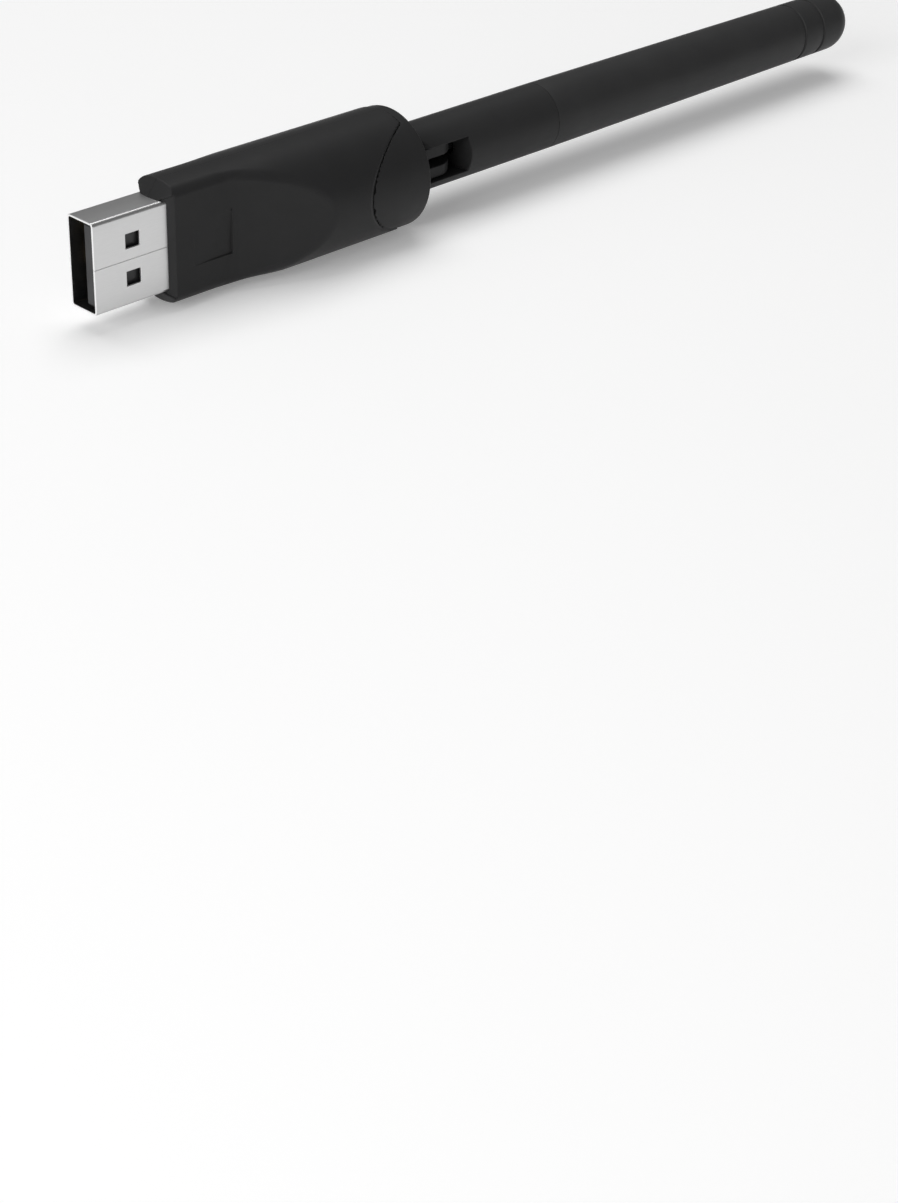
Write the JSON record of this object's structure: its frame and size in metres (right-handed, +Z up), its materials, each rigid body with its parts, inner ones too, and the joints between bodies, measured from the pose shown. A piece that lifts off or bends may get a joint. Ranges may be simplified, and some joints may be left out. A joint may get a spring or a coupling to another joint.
{
  "type": "usb wifi adapter",
  "caption": "Black USB wireless network adapter with a steel type A plug, a round-backed flat case and a rod antenna that folds and swivels",
  "frame": {"origin": "Bottom centre of the bounding box, on the surface that the adapter lies on", "axes": "X runs from the USB plug to the antenna's tip, Y is across the two wide faces of the case and the plug, Z is up and along the plug's width"},
  "size_m": [0.158, 0.0176, 0.0175],
  "materials": {
    "case_plastic": "satin",
    "antenna_plastic": "satin",
    "plug_steel": "satin",
    "tongue_plastic": "matte",
    "gold": "polished",
    "board_green": "semi-gloss",
    "chip_epoxy": "matte",
    "can_steel": "satin",
    "ferrite": "matte",
    "ceramic": "matte",
    "spring_steel": "satin",
    "brass": "satin",
    "copper": "satin",
    "cable_jacket": "matte"
  },
  "bodies": {
    "body": {"usb_shell": "plug_steel", "usb_tongue": "tongue_plastic", "contact_vbus": "gold", "contact_data_minus": "gold", "contact_data_plus": "gold", "contact_ground": "gold", "case_near": "case_plastic", "case_far": "case_plastic", "rear_cap": "case_plastic", "circuit_board": "board_green", "wifi_chip": "chip_epoxy", "voltage_regulator": "chip_epoxy", "crystal": "can_steel", "power_inductor": "ferrite", "capacitor_1": "ceramic", "capacitor_2": "ceramic", "capacitor_3": "ceramic", "capacitor_4": "ceramic", "coax_lower": "cable_jacket"},
    "swivel": {"swivel_hub": "antenna_plastic", "swivel_clip": "spring_steel", "coax_middle": "cable_jacket"},
    "antenna": {"antenna_sleeve": "antenna_plastic", "antenna_radome": "antenna_plastic", "hinge_pin": "spring_steel", "dipole_sleeve": "brass", "radiator_wire": "copper", "coax_upper": "cable_jacket"}
  },
  "joints": [
    {"name": "antenna_swivel", "type": "hinge", "parent": "body", "child": "swivel", "pos_m": [-0.02465, 0, 0.00875], "axis": [1, 0, 0], "range_deg": [-165, 165]},
    {"name": "antenna_tilt", "type": "hinge", "parent": "swivel", "child": "antenna", "pos_m": [-0.018, 0, 0.00875], "axis": [0, 0, -1], "range_deg": [0, 90]}
  ]
}
